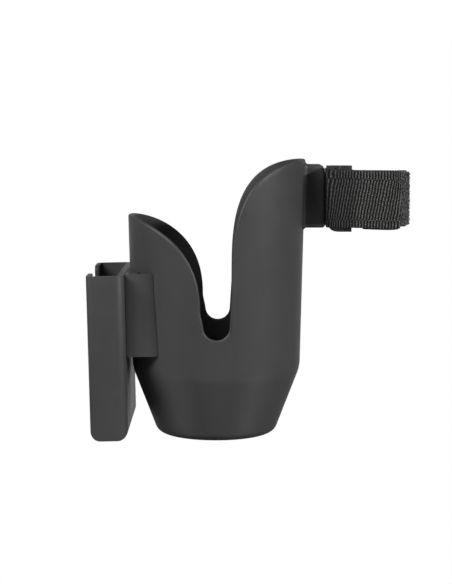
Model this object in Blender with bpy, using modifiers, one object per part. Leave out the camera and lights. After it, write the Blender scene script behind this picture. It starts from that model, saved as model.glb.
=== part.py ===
"""Strap-on cup holder with a lift-off phone pocket, built at real size in metres, +Z up.

The origin is the centre of the cup's flat base. +X points from the cup to the strap, and the phone pocket
hangs on the -X side. The strap and both rails are symmetric about the XZ plane, apart from the strap's tail.
"""

import math

import bmesh
import bpy
from mathutils import Matrix, Vector

MM = 0.001
FIT = 0.3 * MM  # clearance between pieces that touch

# Cup
KINK_RADIUS = 46.15 * MM
KINK_Z = 36.6 * MM
DRAFT = math.radians(1.34)
BLANK_TOP_Z = 153.0 * MM  # the rim cut brings the wall down from here
CONE_FOOT_RADIUS = 32.1 * MM  # where the lower cone would meet the base plane
KINK_FILLET = 22.0 * MM
BASE_FILLET = 6.0 * MM
WALL = 2.2 * MM
FLOOR = 2.6 * MM
TURN_STEPS = 72

# Rim cut, seen along Y: two shoulders, each a quarter of a superellipse, and a round-bottomed slot between
SLOT_BOTTOM_Z = 56.7 * MM
SLOT_RADIUS = 7.0 * MM
SLOT_CENTRE_X = 0.5 * MM
LEFT_CENTRE = Vector((-72.0, 70.8)) * MM
LEFT_REACH = Vector((64.0, 52.3)) * MM
LEFT_POWER = 2.35
RIGHT_CENTRE = Vector((66.6, 80.0)) * MM
RIGHT_REACH = Vector((58.1, 71.3)) * MM
RIGHT_POWER = 3.13

# Neck, on the +X side of the cup, with a T-shaped channel that is open at the bottom
NECK_END_X = 59.3 * MM
NECK_HALF_WIDTH = 9.0 * MM
NECK_BOTTOM_Z = 113.4 * MM
NECK_TOP_Z = 147.6 * MM
NECK_SLANT = Vector((1.4, 4.2)) * MM  # how far the tip's upper end slants back, and how tall the slant is
CHANNEL_TOP_Z = 143.0 * MM
T_HEAD_X = (53.3 * MM, 55.9 * MM)
T_HEAD_HALF_WIDTH = 6.0 * MM
T_STEM_HALF_WIDTH = 2.9 * MM
T_RAIL_Z = (116.0 * MM, 142.7 * MM)

# Phone pocket. Its own frame leans with the cup's wall: x is 0 at its back face, z runs up the wall
POCKET_FOOT_X = -46.5 * MM
LEAN = math.radians(1.2)
POCKET_DEPTH = 20.1 * MM
POCKET_HALF_WIDTH = 41.2 * MM
POCKET_Z = (2.2 * MM, 90.3 * MM)
POCKET_WALL = 2.2 * MM
POCKET_BACK = 3.3 * MM
POCKET_FLOOR = 2.5 * MM
POCKET_CORNER = 5.6 * MM
POCKET_FRONT_EDGE = 3.2 * MM  # radius of the two upright edges away from the cup
POCKET_BACK_EDGE = 5.0 * MM
WINDOW_HALF_WIDTH = 20.0 * MM
WINDOW_SILL_Z = 20.0 * MM
WINDOW_CORNER = 5.0 * MM
LIP_CORNER = 3.0 * MM

# Hooks on the pocket's back, and the bracket that they slide down into
HOOK_WEB_Y = (21.5 * MM, 24.0 * MM)
HOOK_FOOT_X = (2.6 * MM, 4.8 * MM)
HOOK_TIP_Y = 31.2 * MM
HOOK_Z = (49.2 * MM, 86.0 * MM)
BRACKET_HALF_WIDTHS = (35.2 * MM, 34.0 * MM)  # at its bottom and at its top
BRACKET_Z = (46.3 * MM, 90.5 * MM)
BRACKET_FLOOR = 2.6 * MM
SCREW_Y = 14.0 * MM
SCREW_Z = (57.0 * MM, 80.0 * MM)
SCREW_RADIUS = 1.3 * MM
SCREW_HEAD_RADIUS = 2.4 * MM
SCREW_LENGTH = 4.5 * MM

# Saddle that carries the strap
SADDLE_X = 59.9 * MM
SADDLE_HALF_WIDTH = 12.6 * MM
SADDLE_HORN_X = 69.3 * MM
SADDLE_ARC_RADIUS = 17.0 * MM
SADDLE_ARC_BACK_X = 63.2 * MM
SADDLE_Z = (114.1 * MM, 145.3 * MM)
EAR_Y = (15.2 * MM, 17.8 * MM)
EAR_X = (61.4 * MM, 73.0 * MM)
BRIDGE_INNER_Y = 8.0 * MM
FRONT_BRIDGES_X = ((59.7 * MM, 62.2 * MM), (66.8 * MM, 73.0 * MM))
REAR_BRIDGE_X = (63.2 * MM, 71.8 * MM)
BOTTOM_BRIDGE_X = (61.4 * MM, 73.0 * MM)
BOTTOM_BRIDGE_CORNER = 5.0 * MM
BRIDGE_TOP_Z = (145.2 * MM, 147.3 * MM)  # in front
REAR_BRIDGE_TOP_Z = 146.5 * MM
BRIDGE_BOTTOM_Z = (111.9 * MM, 113.9 * MM)
PAD_THICKNESS = 1.5 * MM

# Strap, 30 mm webbing that stands on edge, so that it is a ribbon in the XY plane
STRAP_HALF_WIDTH = 15.3 * MM
STRAP_MID_Z = 129.5 * MM
WEBBING = 1.4 * MM
TAPE = 0.7 * MM
INNER_RUN_Y = 13.9 * MM
OUTER_RUN_Y = 18.9 * MM
LOOP_CENTRE_X = 88.0 * MM
LOOP_REACH = 15.6 * MM  # along X, from the loop's centre to the webbing's middle
LOOP_HALF_DEPTH = 14.4 * MM
PEEL_X = 75.15 * MM
TAIL_END_X = 99.3 * MM
SEWN_END_X = 84.0 * MM
TAPE_START_X = 79.0 * MM
HOOK_TAPE_DROP = 1.6 * MM  # it is sewn on a little low, so that it shows below the tail


def clear_scene():
    for obj in list(bpy.data.objects):
        bpy.data.objects.remove(obj, do_unlink=True)


def new_collection(name):
    collection = bpy.data.collections.new(name)
    bpy.context.scene.collection.children.link(collection)
    return collection


def new_material(name, colour, roughness, metallic=0.0):
    material = bpy.data.materials.new(name)
    material.use_nodes = True
    shader = material.node_tree.nodes["Principled BSDF"]
    shader.inputs["Base Color"].default_value = (*colour, 1.0)
    shader.inputs["Roughness"].default_value = roughness
    shader.inputs["Metallic"].default_value = metallic
    return material


def mesh_object(name, mesh, collection):
    obj = bpy.data.objects.new(name, mesh)
    collection.objects.link(obj)
    return obj


def as_cutter(obj):
    """Marks a helper that shapes other pieces and isn't a piece itself."""
    obj.hide_render = True
    obj.display_type = "WIRE"
    return obj


def box(name, low, high, collection):
    """A box from its lowest to its highest corner, with its origin at its centre."""
    size = Vector(high) - Vector(low)
    shape = bmesh.new()
    bmesh.ops.create_cube(shape, size=1.0, matrix=Matrix.Diagonal((*size, 1.0)))
    mesh = bpy.data.meshes.new(name)
    shape.to_mesh(mesh)
    shape.free()
    obj = mesh_object(name, mesh, collection)
    obj.location = (Vector(low) + Vector(high)) / 2
    return obj


def turned(name, profile, collection, steps=TURN_STEPS):
    """Turns (radius, z) points about Z. The points run down the outer side."""
    mesh = bpy.data.meshes.new(name)
    points = [(radius, 0.0, z) for radius, z in profile]
    mesh.from_pydata(points, [(i, i + 1) for i in range(len(points) - 1)], [])
    obj = mesh_object(name, mesh, collection)
    screw = obj.modifiers.new("Turn", "SCREW")
    screw.steps = steps
    screw.render_steps = steps
    screw.use_merge_vertices = True
    screw.merge_threshold = 0.00002
    return obj


def plate(name, outline, low, high, collection, plane="XY"):
    """A flat outline as a solid, from low to high along the axis that its plane leaves out."""
    curve = bpy.data.curves.new(name, "CURVE")
    curve.dimensions = "2D"
    curve.fill_mode = "BOTH"
    curve.extrude = (high - low) / 2
    spline = curve.splines.new("POLY")
    spline.points.add(len(outline) - 1)
    for point, (across, up) in zip(spline.points, outline):
        point.co = (across, up, 0.0, 1.0)
    spline.use_cyclic_u = True
    drawn = bpy.data.objects.new(name + "_outline", curve)
    collection.objects.link(drawn)
    middle = (low + high) / 2
    if plane == "XZ":
        drawn.matrix_world = Matrix(((1, 0, 0, 0), (0, 0, -1, middle), (0, 1, 0, 0), (0, 0, 0, 1)))
    elif plane == "YZ":
        drawn.matrix_world = Matrix(((0, 0, 1, middle), (1, 0, 0, 0), (0, 1, 0, 0), (0, 0, 0, 1)))
    else:
        drawn.matrix_world = Matrix.Translation((0.0, 0.0, middle))
    bpy.context.view_layer.update()
    mesh = bpy.data.meshes.new_from_object(drawn.evaluated_get(bpy.context.evaluated_depsgraph_get()))
    mesh.name = name
    shape = bmesh.new()
    shape.from_mesh(mesh)
    bmesh.ops.remove_doubles(shape, verts=shape.verts, dist=0.00001)
    bmesh.ops.recalc_face_normals(shape, faces=shape.faces)
    shape.to_mesh(mesh)
    shape.free()
    obj = mesh_object(name, mesh, collection)
    obj.matrix_world = drawn.matrix_world
    bpy.data.objects.remove(drawn, do_unlink=True)
    return obj


def boolean(obj, other, operation):
    """Unites or cuts. Every mesh here is closed, and EXACT leaves open edges along the cup's long rim cut."""
    modifier = obj.modifiers.new(operation.title() + " " + other.name, "BOOLEAN")
    modifier.operation = operation
    modifier.solver = "MANIFOLD"
    modifier.object = other
    return modifier


def bevel(obj, width, segments=2, angle=math.radians(50)):
    modifier = obj.modifiers.new("Rounded edges", "BEVEL")
    modifier.width = width
    modifier.segments = segments
    modifier.limit_method = "ANGLE"
    modifier.angle_limit = angle
    return modifier


def finish_piece(obj, material):
    """Gives a piece its material, and shades its round faces smooth."""
    obj.data.materials.clear()
    obj.data.materials.append(material)
    obj.data.shade_smooth()
    obj.data.set_sharp_from_angle(angle=math.radians(35))


def rounded_corner(before, corner, after, radius, steps):
    """The arc, as points, that rounds a corner of an outline."""
    corner = Vector(corner)
    towards_before = (Vector(before) - corner).normalized()
    towards_after = (Vector(after) - corner).normalized()
    half_angle = towards_before.angle(towards_after) / 2
    bisector = (towards_before + towards_after).normalized()
    centre = corner + bisector * (radius / math.sin(half_angle))
    start = corner + towards_before * (radius / math.tan(half_angle)) - centre
    end = corner + towards_after * (radius / math.tan(half_angle)) - centre
    sweep = start.angle_signed(end)
    return [
        tuple(centre + Matrix.Rotation(-sweep * i / steps, 2) @ start) for i in range(steps + 1)
    ]


def wall_radius(z):
    """The cup's outer radius above the kink."""
    return KINK_RADIUS + (z - KINK_Z) * math.tan(DRAFT)


def cup_side(shrink, foot_z, top_z):
    """(radius, z) points from the top down to the foot, shrink inside the outer surface."""
    cone_slope = (KINK_RADIUS - CONE_FOOT_RADIUS) / KINK_Z
    cone_shrink = shrink * math.sqrt(1.0 + cone_slope**2)
    top = (wall_radius(top_z) - shrink, top_z)
    kink_z = KINK_Z + (cone_shrink - shrink) / (cone_slope - math.tan(DRAFT))
    kink = (wall_radius(kink_z) - shrink, kink_z)
    foot = (CONE_FOOT_RADIUS + cone_slope * foot_z - cone_shrink, foot_z)
    side = [top]
    side += rounded_corner(top, kink, foot, KINK_FILLET, 6)
    side += rounded_corner(kink, foot, (0.0, foot_z), BASE_FILLET - shrink, 6)
    return side


def shoulder(centre, reach, power, side):
    """(x, z) points on a quarter of a superellipse, from above its centre down to the slot's side."""
    steps = 24
    points = []
    for i in range(steps + 1):
        angle = math.pi / 2 * (1 - i / steps)
        across = max(math.cos(angle), 0.0) ** (2 / power)
        up = max(math.sin(angle), 0.0) ** (2 / power)
        points.append((centre.x + side * reach.x * across, centre.y + reach.y * up))
    return points


def rim_outline():
    """What is cut away above the rim, as (x, z): the left shoulder, the slot, then the right shoulder."""
    beyond_x = 80.0 * MM
    above_z = BLANK_TOP_Z + 5.0 * MM
    slot_steps = 12
    slot_centre_z = SLOT_BOTTOM_Z + SLOT_RADIUS
    slot = []
    for i in range(slot_steps + 1):
        angle = math.pi + math.pi * i / slot_steps
        across = SLOT_CENTRE_X + SLOT_RADIUS * math.cos(angle)
        slot.append((across, slot_centre_z + SLOT_RADIUS * math.sin(angle)))
    left = shoulder(LEFT_CENTRE, LEFT_REACH, LEFT_POWER, 1)
    right = shoulder(RIGHT_CENTRE, RIGHT_REACH, RIGHT_POWER, -1)[::-1]
    start = [(-beyond_x, above_z), (-beyond_x, left[0][1])]
    end = [(beyond_x, right[-1][1]), (beyond_x, above_z)]
    return start + left + slot + right + end


def screw_axis(y, z):
    """Where a bracket screw's head sits in the cup's inner wall, in the pocket's frame."""
    radius = wall_radius(z) - WALL
    return Vector((-math.sqrt(radius**2 - y**2), y, z))


def screw_profile(grow):
    """(radius, z) of a countersunk screw whose point is down and whose head is flush with z 0."""
    cone = 1.3 * MM
    point = 1.0 * MM
    return [
        (0.0, grow),
        (SCREW_HEAD_RADIUS + grow, grow),
        (SCREW_RADIUS + grow, -cone),
        (SCREW_RADIUS + grow, -SCREW_LENGTH + point),
        (0.3 * MM + grow, -SCREW_LENGTH - grow),
        (0.0, -SCREW_LENGTH - grow),
    ]


def place_screw(obj, y, z):
    """Points a screw along -X from the inside of the cup's wall."""
    sunk = 0.9 * MM  # the curved wall has to cover the flat head's edge
    obj.rotation_euler = (0.0, math.pi / 2, 0.0)
    obj.location = screw_axis(y, z) - Vector((sunk, 0.0, 0.0))


def make_screws(parts, cutters, steel):
    """Four countersunk screws, and the holes that they need."""
    holes = []
    number = 0
    for z in SCREW_Z:
        for y in (-SCREW_Y, SCREW_Y):
            number += 1
            screw = turned(f"bracket_screw_{number}", screw_profile(0.0), parts, steps=20)
            place_screw(screw, y, z)
            arm = Vector((0.8, 0.25, 0.7)) * MM
            cross = box(f"screw_recess_{number}", -arm, (arm.x, arm.y, 1.0 * MM), cutters)
            cross.parent = screw
            boolean(screw, as_cutter(cross), "DIFFERENCE")
            finish_piece(screw, steel)
            hole = turned(f"screw_hole_{number}", screw_profile(FIT), cutters, steps=20)
            place_screw(hole, y, z)
            well_radius = SCREW_HEAD_RADIUS + FIT
            well_z = (3.0 * MM, 0.1 * MM)
            well_profile = [(0.0, well_z[0])]
            well_profile += [(well_radius, z_end) for z_end in well_z]
            well_profile += [(0.0, well_z[1])]
            well = turned(f"screw_well_{number}", well_profile, cutters, steps=20)
            place_screw(well, y, z)
            holes += [as_cutter(hole), as_cutter(well)]
    return holes


def make_cup(parts, cutters, screw_holes, plastic):
    """The cup and its neck, moulded as one."""
    cup = turned("cup_body", [(0.0, BLANK_TOP_Z), *cup_side(0.0, 0.0, BLANK_TOP_Z), (0.0, 0.0)], parts)
    neck_root_x = 40.0 * MM
    neck_outline = [
        (neck_root_x, NECK_BOTTOM_Z),
        (NECK_END_X, NECK_BOTTOM_Z),
        (NECK_END_X, NECK_TOP_Z - NECK_SLANT.y),
        (NECK_END_X - NECK_SLANT.x, NECK_TOP_Z),
        (neck_root_x, NECK_TOP_Z),
    ]
    neck = plate("neck_block", neck_outline, -NECK_HALF_WIDTH, NECK_HALF_WIDTH, cutters, plane="XZ")
    bevel(neck, 1.6 * MM, 3)
    boolean(cup, as_cutter(neck), "UNION")
    over_top = BLANK_TOP_Z + 4.0 * MM
    hollow = turned("cup_hollow", [(0.0, over_top), *cup_side(WALL, FLOOR, over_top), (0.0, FLOOR)], cutters)
    boolean(cup, as_cutter(hollow), "DIFFERENCE")
    rim = plate("rim_cut", rim_outline(), -60.0 * MM, 60.0 * MM, cutters, plane="XZ")
    boolean(cup, as_cutter(rim), "DIFFERENCE")
    below_neck = NECK_BOTTOM_Z - 3.0 * MM
    head = box(
        "channel_head",
        (T_HEAD_X[0] - FIT, -T_HEAD_HALF_WIDTH - FIT, below_neck),
        (T_HEAD_X[1] + FIT, T_HEAD_HALF_WIDTH + FIT, CHANNEL_TOP_Z),
        cutters,
    )
    throat = box(
        "channel_throat",
        (T_HEAD_X[1] - FIT, -T_STEM_HALF_WIDTH - FIT, below_neck),
        (NECK_END_X + 2.0 * MM, T_STEM_HALF_WIDTH + FIT, CHANNEL_TOP_Z),
        cutters,
    )
    for cutter in (head, throat, *screw_holes):
        boolean(cup, as_cutter(cutter), "DIFFERENCE")
    finish_piece(cup, plastic)
    return cup


def make_bracket(parts, cutters, leaning, screw_holes, plastic):
    """The bracket between cup and pocket: a block with a channel at each side for the pocket's hooks."""
    low_y, high_y = BRACKET_HALF_WIDTHS
    outline = [(-low_y, BRACKET_Z[0]), (low_y, BRACKET_Z[0]), (high_y, BRACKET_Z[1]), (-high_y, BRACKET_Z[1])]
    bracket = plate("phone_rail_bracket", outline, FIT, 24.0 * MM, parts, plane="YZ")
    bracket.parent = leaning
    outer = [(0.0, BLANK_TOP_Z), *cup_side(-FIT, -FIT, BLANK_TOP_Z), (0.0, -FIT)]
    cup_shape = turned("cup_outside", outer, cutters)
    boolean(bracket, as_cutter(cup_shape), "DIFFERENCE")
    inner_y = HOOK_WEB_Y[0] - FIT
    channel_z = (BRACKET_Z[0] + BRACKET_FLOOR, BRACKET_Z[1] + 3.0 * MM)
    for side in (-1, 1):
        pocket = box(
            f"hook_channel_{side:+d}",
            (HOOK_FOOT_X[0] - FIT, min(side * inner_y, side * (HOOK_TIP_Y + FIT)), channel_z[0]),
            (HOOK_FOOT_X[1] + FIT, max(side * inner_y, side * (HOOK_TIP_Y + FIT)), channel_z[1]),
            cutters,
        )
        throat_y = HOOK_WEB_Y[1] + FIT
        throat = box(
            f"hook_throat_{side:+d}",
            (-1.0 * MM, min(side * inner_y, side * throat_y), channel_z[0]),
            (HOOK_FOOT_X[1], max(side * inner_y, side * throat_y), channel_z[1]),
            cutters,
        )
        relief_x = 22.0 * MM
        relief = box(
            f"flange_relief_{side:+d}",
            (HOOK_FOOT_X[1] + 2.2 * MM, min(side * 24.0 * MM, side * 32.0 * MM), channel_z[0]),
            (relief_x, max(side * 24.0 * MM, side * 32.0 * MM), channel_z[1]),
            cutters,
        )
        for cutter in (pocket, throat, relief):
            cutter.parent = leaning
            boolean(bracket, as_cutter(cutter), "DIFFERENCE")
    for cutter in screw_holes:
        boolean(bracket, cutter, "DIFFERENCE")
    finish_piece(bracket, plastic)
    return bracket


def window_outline():
    """The pocket's window as (y, z): round lower corners, and lips whose top corners are rounded off."""
    w = WINDOW_HALF_WIDTH
    sill = WINDOW_SILL_Z
    top = POCKET_Z[1]
    above = top + 4.0 * MM
    steps = 4
    right_low = rounded_corner((-w, sill), (w, sill), (w, top), WINDOW_CORNER, steps)
    turns = [math.pi / 2 * i / steps for i in range(steps + 1)]
    right_top = [(w + LIP_CORNER * (1 - math.cos(a)), top - LIP_CORNER * (1 - math.sin(a))) for a in turns]
    half = [*right_low, *right_top, (w + LIP_CORNER, above)]
    return half + [(-y, z) for y, z in reversed(half)]


def pocket_plan():
    """The pocket's outline in plan, with its four upright edges rounded."""
    y = POCKET_HALF_WIDTH
    corners = ((-POCKET_DEPTH, -y), (0.0, -y), (0.0, y), (-POCKET_DEPTH, y))
    radii = (POCKET_FRONT_EDGE, POCKET_BACK_EDGE, POCKET_BACK_EDGE, POCKET_FRONT_EDGE)
    outline = []
    for i, radius in enumerate(radii):
        outline += rounded_corner(corners[i - 1], corners[i], corners[(i + 1) % 4], radius, 6)
    return outline


def make_pocket(parts, cutters, leaning, plastic):
    """The phone pocket: a tray that is open at the top, with a window between two side lips."""
    bottom, top = POCKET_Z
    corners = ((-POCKET_DEPTH, top), (-POCKET_DEPTH, bottom), (0.0, bottom), (0.0, top))
    outline = [corners[0]]
    outline += rounded_corner(corners[0], corners[1], corners[2], POCKET_CORNER, 5)
    outline += rounded_corner(corners[1], corners[2], corners[3], POCKET_CORNER, 5)
    outline += [corners[3]]
    pocket = plate("phone_pocket", outline, -POCKET_HALF_WIDTH, POCKET_HALF_WIDTH, parts, plane="XZ")
    pocket.parent = leaning
    plan = plate("pocket_plan", pocket_plan(), bottom - 1.0 * MM, top + 1.0 * MM, cutters)
    plan.parent = leaning
    boolean(pocket, as_cutter(plan), "INTERSECT")
    hollow = box(
        "pocket_hollow",
        (-POCKET_DEPTH + POCKET_WALL, -POCKET_HALF_WIDTH + POCKET_WALL, bottom + POCKET_FLOOR),
        (-POCKET_BACK, POCKET_HALF_WIDTH - POCKET_WALL, top + 5.0 * MM),
        cutters,
    )
    bevel(hollow, 1.5 * MM, 2)
    window_x = (-POCKET_DEPTH - 3.0 * MM, -POCKET_DEPTH + 3.0 * MM)
    window = plate("pocket_window", window_outline(), *window_x, cutters, plane="YZ")
    window.parent = leaning
    hollow.parent = leaning
    for cutter in (hollow, window):
        boolean(pocket, as_cutter(cutter), "DIFFERENCE")
    embed = 1.0 * MM
    for side in (-1, 1):
        web = box(
            f"hook_web_{side:+d}",
            (-embed, min(side * HOOK_WEB_Y[0], side * HOOK_WEB_Y[1]), HOOK_Z[0]),
            (HOOK_FOOT_X[1], max(side * HOOK_WEB_Y[0], side * HOOK_WEB_Y[1]), HOOK_Z[1]),
            cutters,
        )
        foot_y = (HOOK_WEB_Y[1] - embed, HOOK_TIP_Y)
        foot = box(
            f"hook_foot_{side:+d}",
            (HOOK_FOOT_X[0], min(side * foot_y[0], side * foot_y[1]), HOOK_Z[0]),
            (HOOK_FOOT_X[1], max(side * foot_y[0], side * foot_y[1]), HOOK_Z[1]),
            cutters,
        )
        for piece in (web, foot):
            piece.parent = leaning
            boolean(pocket, as_cutter(piece), "UNION")
    finish_piece(pocket, plastic)
    return pocket


def saddle_outline(arc_radius, back_x):
    """The saddle in plan: a block whose +X side is hollowed to sit on a round tube."""
    centre_x = SADDLE_ARC_BACK_X + SADDLE_ARC_RADIUS
    steps = 12
    reach = math.asin(SADDLE_HALF_WIDTH / arc_radius) * 0.98
    outline = [(back_x, SADDLE_HALF_WIDTH), (back_x, -SADDLE_HALF_WIDTH)]
    outline += [(SADDLE_HORN_X, -SADDLE_HALF_WIDTH)]
    for i in range(steps + 1):
        angle = math.pi + reach - 2 * reach * i / steps
        outline.append((centre_x + arc_radius * math.cos(angle), arc_radius * math.sin(angle)))
    return outline + [(SADDLE_HORN_X, SADDLE_HALF_WIDTH)]


def make_saddle(parts, cutters, plastic):
    """The strap's mount: saddle, an ear for the strap at each side, and the T-rail that enters the neck."""
    saddle = plate("strap_bracket", saddle_outline(SADDLE_ARC_RADIUS, SADDLE_X), *SADDLE_Z, parts)
    extras = []
    for side, label, top_bridges in ((-1, "front", FRONT_BRIDGES_X), (1, "rear", (REAR_BRIDGE_X,))):
        ear_y = sorted((side * EAR_Y[0], side * EAR_Y[1]))
        bridge_y = sorted((side * BRIDGE_INNER_Y, side * EAR_Y[1]))
        ear_z = (BRIDGE_BOTTOM_Z[1] - 0.5 * MM, BRIDGE_TOP_Z[0] + 0.5 * MM)
        ear = box(f"ear_{label}", (EAR_X[0], ear_y[0], ear_z[0]), (EAR_X[1], ear_y[1], ear_z[1]), cutters)
        extras.append(ear)
        bridge_top = BRIDGE_TOP_Z[1] if side < 0 else REAR_BRIDGE_TOP_Z
        for number, (low_x, high_x) in enumerate(top_bridges):
            low = (low_x, bridge_y[0], BRIDGE_TOP_Z[0])
            high = (high_x, bridge_y[1], bridge_top)
            extras.append(box(f"bridge_{label}_{number}", low, high, cutters))
        low_x, high_x = BOTTOM_BRIDGE_X
        low_z, high_z = BRIDGE_BOTTOM_Z
        outline = [(high_x, low_z), (high_x, high_z), (low_x, high_z)]
        outline += [
            (low_x + BOTTOM_BRIDGE_CORNER * (1 - math.cos(a)), high_z - (high_z - low_z) * math.sin(a))
            for a in (math.pi / 2 * i / 5 for i in range(1, 6))
        ]
        extras.append(plate(f"bridge_{label}_bottom", outline, *bridge_y, cutters, plane="XZ"))
    stem = box(
        "rail_stem",
        (T_HEAD_X[1] - 0.5 * MM, -T_STEM_HALF_WIDTH, T_RAIL_Z[0]),
        (SADDLE_X + 1.0 * MM, T_STEM_HALF_WIDTH, T_RAIL_Z[1]),
        cutters,
    )
    head = box(
        "rail_head",
        (T_HEAD_X[0], -T_HEAD_HALF_WIDTH, T_RAIL_Z[0]),
        (T_HEAD_X[1], T_HEAD_HALF_WIDTH, T_RAIL_Z[1]),
        cutters,
    )
    for piece in (*extras, stem, head):
        boolean(saddle, as_cutter(piece), "UNION")
    finish_piece(saddle, plastic)
    return saddle


def make_saddle_pad(parts, rubber):
    """The soft pad that lines the saddle's hollow."""
    centre_x = SADDLE_ARC_BACK_X + SADDLE_ARC_RADIUS
    outer = SADDLE_ARC_RADIUS - FIT
    inner = outer - PAD_THICKNESS
    reach = math.radians(36)
    steps = 12
    margin = 2.0 * MM
    angles = [math.pi - reach + 2 * reach * i / steps for i in range(steps + 1)]
    outline = [(centre_x + outer * math.cos(a), outer * math.sin(a)) for a in angles]
    outline += [(centre_x + inner * math.cos(a), inner * math.sin(a)) for a in reversed(angles)]
    pad = plate("saddle_pad", outline, SADDLE_Z[0] + margin, SADDLE_Z[1] - margin, parts)
    finish_piece(pad, rubber)
    return pad


def loop_path(offset, start_x, end_x, side_start=1, side_end=-1):
    """The strap's loop, offset outwards: along the rear, round the far end and back along the front."""
    points = []
    bend_steps = 18
    if side_start > 0:
        points.append((start_x, run_y(start_x) + offset))
        points += [(x, run_y(x) + offset) for x in spaced(start_x, LOOP_CENTRE_X, 4)[1:]]
    for i in range(1, bend_steps):
        angle = math.pi / 2 - math.pi * i / bend_steps
        x = LOOP_CENTRE_X + (LOOP_REACH + offset) * math.cos(angle)
        y = (LOOP_HALF_DEPTH + offset) * math.sin(angle)
        points.append((x, y))
    if side_end < 0:
        points += [(x, -run_y(x) - offset) for x in spaced(LOOP_CENTRE_X, end_x, 4)]
    return points


def spaced(start, end, parts):
    return [start + (end - start) * i / parts for i in range(parts + 1)]


def run_y(x):
    """How far the webbing's middle is from the XZ plane: it eases from the saddle out to the loop's width."""
    share = min(max((x - EAR_X[1]) / (LOOP_CENTRE_X - EAR_X[1]), 0.0), 1.0)
    return INNER_RUN_Y + (LOOP_HALF_DEPTH - INNER_RUN_Y) * share * share * (3 - 2 * share)


def ear_wrap(side):
    """The webbing's middle where it turns round an ear's edge, from the inner run to the outer one."""
    radius = (OUTER_RUN_Y - INNER_RUN_Y) / 2
    centre = ((EAR_X[0] + 0.95 * MM), (OUTER_RUN_Y + INNER_RUN_Y) / 2)
    steps = 8
    points = []
    for i in range(steps + 1):
        angle = math.pi / 2 + math.pi * i / steps
        points.append((centre[0] + radius * math.cos(angle), centre[1] - radius * math.sin(angle)))
    return [(x, side * y) for x, y in points]


def ribbon(name, path, thickness, parts, half_width=STRAP_HALF_WIDTH, drop=0.0):
    """A band that follows a path in plan and stands on edge."""
    path = [Vector(p) for p in path]
    left, right = [], []
    for i, point in enumerate(path):
        before = path[max(i - 1, 0)]
        after = path[min(i + 1, len(path) - 1)]
        along = (after - before).normalized()
        across = Vector((-along.y, along.x)) * (thickness / 2)
        left.append(tuple(point + across))
        right.append(tuple(point - across))
    middle = STRAP_MID_Z - drop
    return plate(name, left + right[::-1], middle - half_width, middle + half_width, parts)


def tail_path(start_x, end_x, offset):
    """The tail's middle: straight over the ear, then round the loop at a constant offset from the webbing."""
    straight_end = LOOP_CENTRE_X
    reach, depth = LOOP_REACH + offset, LOOP_HALF_DEPTH + offset
    rise = (depth - OUTER_RUN_Y) / (straight_end - PEEL_X)
    points = [(x, -OUTER_RUN_Y - rise * (x - PEEL_X)) for x in spaced(start_x, straight_end, 3)]
    end_angle = math.acos((end_x - LOOP_CENTRE_X) / reach)
    steps = 6
    for i in range(1, steps + 1):
        angle = math.pi / 2 + (end_angle - math.pi / 2) * i / steps
        points.append((LOOP_CENTRE_X + reach * math.cos(angle), -depth * math.sin(angle)))
    return points


def make_strap(parts, webbing, pile, hook):
    """The webbing, the pile tape sewn to its outside, and the tail with its hook tape."""
    layer_gap = FIT
    pile_offset = WEBBING / 2 + layer_gap + TAPE / 2
    hook_offset = pile_offset + TAPE + layer_gap
    tail_offset = hook_offset + TAPE / 2 + layer_gap + WEBBING / 2
    sewn_offset = WEBBING + layer_gap
    bend_x = 79.0 * MM
    sewn_back = [
        (SEWN_END_X, run_y(SEWN_END_X) + sewn_offset),
        (bend_x, run_y(bend_x) + sewn_offset + 0.5 * MM),
        (EAR_X[1] + 0.8 * MM, OUTER_RUN_Y),
    ]
    path = sewn_back + ear_wrap(1)[::-1]
    path += [(68.0 * MM, INNER_RUN_Y)]
    path += loop_path(0.0, EAR_X[1], EAR_X[1])
    path += [(68.0 * MM, -INNER_RUN_Y)]
    path += ear_wrap(-1)
    path += [(68.0 * MM, -OUTER_RUN_Y), (PEEL_X - FIT / 2, -OUTER_RUN_Y)]
    band = ribbon("strap_webbing", path, WEBBING, parts)
    finish_piece(band, webbing)
    tape_half_width = STRAP_HALF_WIDTH - 0.7 * MM
    pile_path = loop_path(pile_offset, SEWN_END_X + 1.5 * MM, TAPE_START_X)
    finish_piece(ribbon("pile_tape", pile_path, TAPE, parts, tape_half_width), pile)
    tail = ribbon("strap_tail", tail_path(PEEL_X + FIT / 2, TAIL_END_X, tail_offset), WEBBING, parts)
    finish_piece(tail, webbing)
    hook_path = tail_path(TAPE_START_X, TAIL_END_X - 1.0 * MM, hook_offset)
    hook_path = [(x, y) for x, y in hook_path if x >= LOOP_CENTRE_X - 0.01 * MM]
    hook_path.insert(0, (TAPE_START_X, -(OUTER_RUN_Y - WEBBING / 2 - layer_gap - TAPE / 2) + 0.1 * MM))
    finish_piece(ribbon("hook_tape", hook_path, TAPE, parts, tape_half_width, drop=HOOK_TAPE_DROP), hook)


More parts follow.
